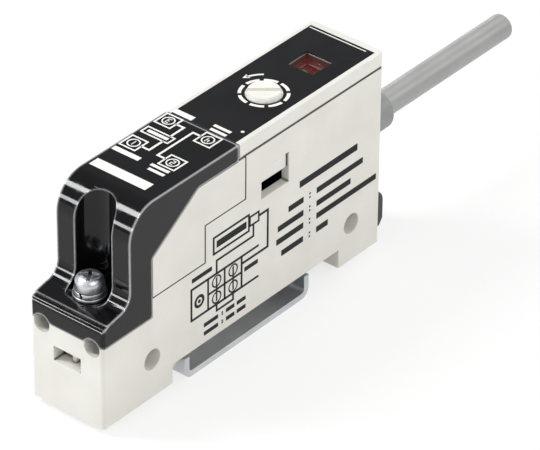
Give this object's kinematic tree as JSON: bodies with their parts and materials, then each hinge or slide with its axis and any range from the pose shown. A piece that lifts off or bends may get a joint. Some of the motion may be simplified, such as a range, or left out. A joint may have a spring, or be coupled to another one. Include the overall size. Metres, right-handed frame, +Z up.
{
  "type": "proximity sensor amplifier",
  "caption": "Slim amplifier for a proximity sensor, with a smoked terminal cover, an adjuster, a cable and a clip-on mounting bracket for a rail.",
  "frame": {"origin": "middle of the bracket's underside, on the middle plane of the case", "axes": "+X runs from the terminal end to the cable end, +Y goes across the case and +Z goes up"},
  "size_m": [0.0965, 0.013, 0.0337],
  "materials": {
    "case_plastic": "moulded ABS with a fine even texture",
    "lid_plastic": "moulded ABS with a fine even texture",
    "label_film": "printed polyester film, satin",
    "red_lens": "tinted clear plastic",
    "smoked_cover": "smoked clear plastic, polished",
    "plated_steel": "nickel plated steel",
    "brass": "turned and stamped brass",
    "board": "glass epoxy board with green resist",
    "trimmer_blue": "moulded nylon",
    "adjuster_plastic": "moulded nylon",
    "red_lamp": "tinted clear resin",
    "green_lamp": "tinted clear resin",
    "black_resin": "moulded epoxy",
    "capacitor_can": "printed sleeve over a metal can",
    "gland_rubber": "moulded flexible PVC",
    "cable_jacket": "extruded PVC jacket, satin",
    "wire_red": "PVC insulation",
    "wire_white": "PVC insulation",
    "wire_yellow": "PVC insulation",
    "wire_black": "PVC insulation",
    "lock_plastic": "moulded acetal",
    "spring_steel": "drawn spring wire",
    "bracket_steel": "zinc plated sheet steel"
  },
  "bodies": {
    "base": {"case": "case_plastic", "top_lid": "lid_plastic", "top_label": "label_film", "led_window": "red_lens", "screw_insert": "brass", "terminal_block": "case_plastic", "terminal_screw_1": "plated_steel", "terminal_screw_2": "plated_steel", "terminal_screw_3": "plated_steel", "terminal_screw_4": "plated_steel", "terminal_clamp_1": "plated_steel", "terminal_clamp_2": "plated_steel", "terminal_clamp_3": "plated_steel", "terminal_clamp_4": "plated_steel", "terminal_plate_1": "brass", "terminal_plate_2": "brass", "terminal_plate_3": "brass", "terminal_plate_4": "brass", "circuit_board": "board", "trimmer": "trimmer_blue", "operation_led": "red_lamp", "stability_led": "green_lamp", "detector_chip": "black_resin", "smoothing_capacitor": "capacitor_can", "output_transistor_1": "black_resin", "output_transistor_2": "black_resin", "voltage_regulator": "black_resin", "cable_gland": "gland_rubber", "cable": "cable_jacket", "core_red": "wire_red", "core_white": "wire_white", "core_yellow": "wire_yellow", "core_black": "wire_black", "lock_spring": "spring_steel", "mounting_bracket": "bracket_steel"},
    "cover": {"terminal_cover": "smoked_cover"},
    "cover_screw": {"cover_screw": "plated_steel", "spring_washer": "plated_steel", "flat_washer": "plated_steel"},
    "adjuster": {"adjuster": "adjuster_plastic"},
    "rail_lock": {"rail_lock": "lock_plastic"}
  },
  "joints": [
    {"name": "cover_lift", "type": "slide", "parent": "base", "child": "cover", "axis": [0, 0, 1], "range_m": [0, 0.018]},
    {"name": "cover_screw_turn", "type": "hinge", "parent": "cover", "child": "cover_screw", "pos_m": [-0.0254, 0, 0.0193], "axis": [0, 0, 1], "continuous": true},
    {"name": "adjuster_turn", "type": "hinge", "parent": "base", "child": "adjuster", "pos_m": [0.0101, -0.0007, 0.0331], "axis": [0, 0, 1], "range_deg": [-135, 135]},
    {"name": "rail_lock_slide", "type": "slide", "parent": "base", "child": "rail_lock", "axis": [1, 0, 0], "range_m": [0, 0.0022], "stiffness_N_per_m": 400, "springref_m": -0.0012, "deforming": ["lock_spring"]}
  ]
}
